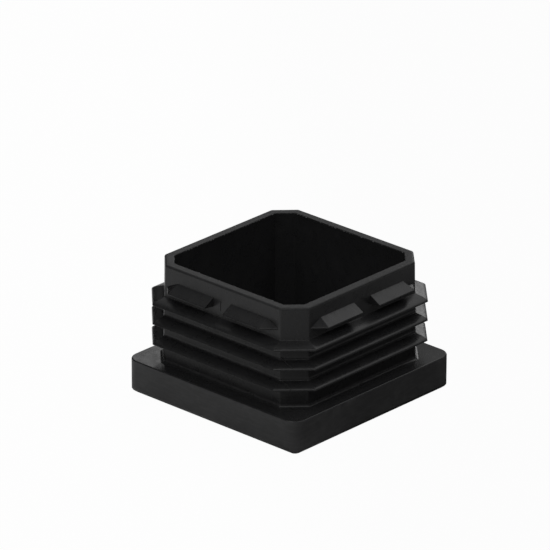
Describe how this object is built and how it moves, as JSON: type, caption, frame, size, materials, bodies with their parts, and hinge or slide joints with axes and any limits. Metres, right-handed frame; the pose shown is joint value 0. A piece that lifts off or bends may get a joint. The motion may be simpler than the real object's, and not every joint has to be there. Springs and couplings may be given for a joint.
{
  "type": "tube end cap",
  "caption": "Ribbed hollow plug on a square pillowed head, pressed into the end of a square tube to close it and to give it a foot.",
  "frame": {"origin": "centre of the outer face, the flat panel that the head stands on", "axes": "+Z along the plug from the outer face to the open mouth, X and Y square to the head's sides"},
  "size_m": [0.04, 0.04, 0.0252],
  "materials": {
    "black_plastic": "moulded black polyethylene with a fine satin grain"
  },
  "bodies": {
    "root": {"end_cap": "black_plastic"}
  },
  "joints": []
}
